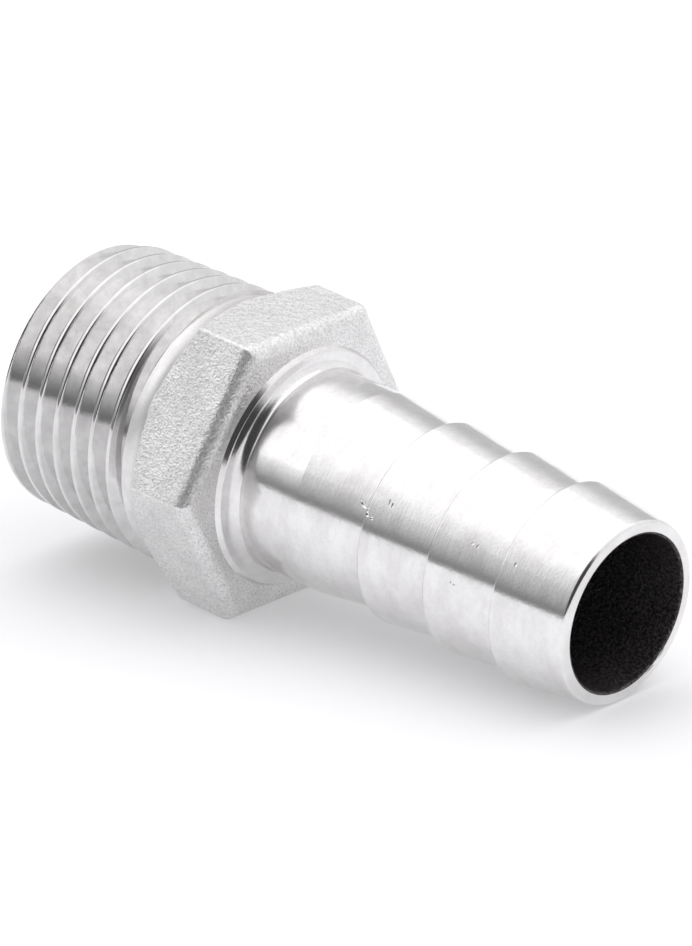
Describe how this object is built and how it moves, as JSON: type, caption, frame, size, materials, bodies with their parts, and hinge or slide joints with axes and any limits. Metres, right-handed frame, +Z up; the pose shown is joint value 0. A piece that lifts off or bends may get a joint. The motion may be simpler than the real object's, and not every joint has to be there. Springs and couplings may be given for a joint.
{
  "type": "hose barb tail",
  "caption": "Hexagon hose nipple lying on its side: a taper pipe thread, a spanner hexagon and a barbed hose tail, bored through.",
  "frame": {"origin": "centre of the bounding box's footprint, on the table that the fitting lies on", "axes": "+X along the fitting, level, towards the tail's tip; +Z up; the fitting's own axis lies in the XZ plane and dips 6.8 degrees towards the tip; +Y completes a right-handed frame"},
  "size_m": [0.053, 0.0244, 0.0228],
  "materials": {
    "stainless": "cast and blasted hexagon; turned thread, boss and tail; rough bore"
  },
  "bodies": {
    "root": {"hose_nipple": "stainless"}
  },
  "joints": []
}
